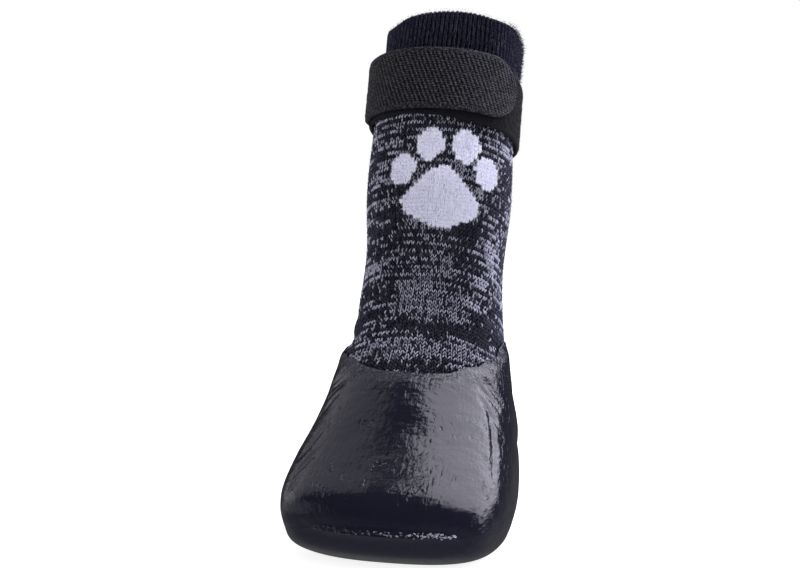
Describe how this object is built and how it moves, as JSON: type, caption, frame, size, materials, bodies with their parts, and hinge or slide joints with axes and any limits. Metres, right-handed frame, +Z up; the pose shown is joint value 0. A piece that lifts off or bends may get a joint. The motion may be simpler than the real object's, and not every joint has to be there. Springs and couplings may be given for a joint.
{
  "type": "dog sock",
  "caption": "Knitted dog sock with rib cuff, rubber-dipped foot and a hook-and-loop tape strap round the shaft.",
  "frame": {"origin": "middle of the underside of the box round the sock, on the floor under the sole", "axes": "+Z up, the toe points along -Y, +X is the wearer's left"},
  "size_m": [0.0662, 0.1236, 0.163],
  "materials": {
    "knit": "melange jersey knit, navy and grey-white, with a knitted-in paw print",
    "rubber": "glossy dipped rubber",
    "loop_tape": "matt loop pile tape",
    "hook_tape": "woven back of hook tape"
  },
  "bodies": {
    "root": {"knit_sock": "knit", "rubber_sole": "rubber", "loop_strap": "loop_tape", "hook_strap": "hook_tape"}
  },
  "joints": []
}
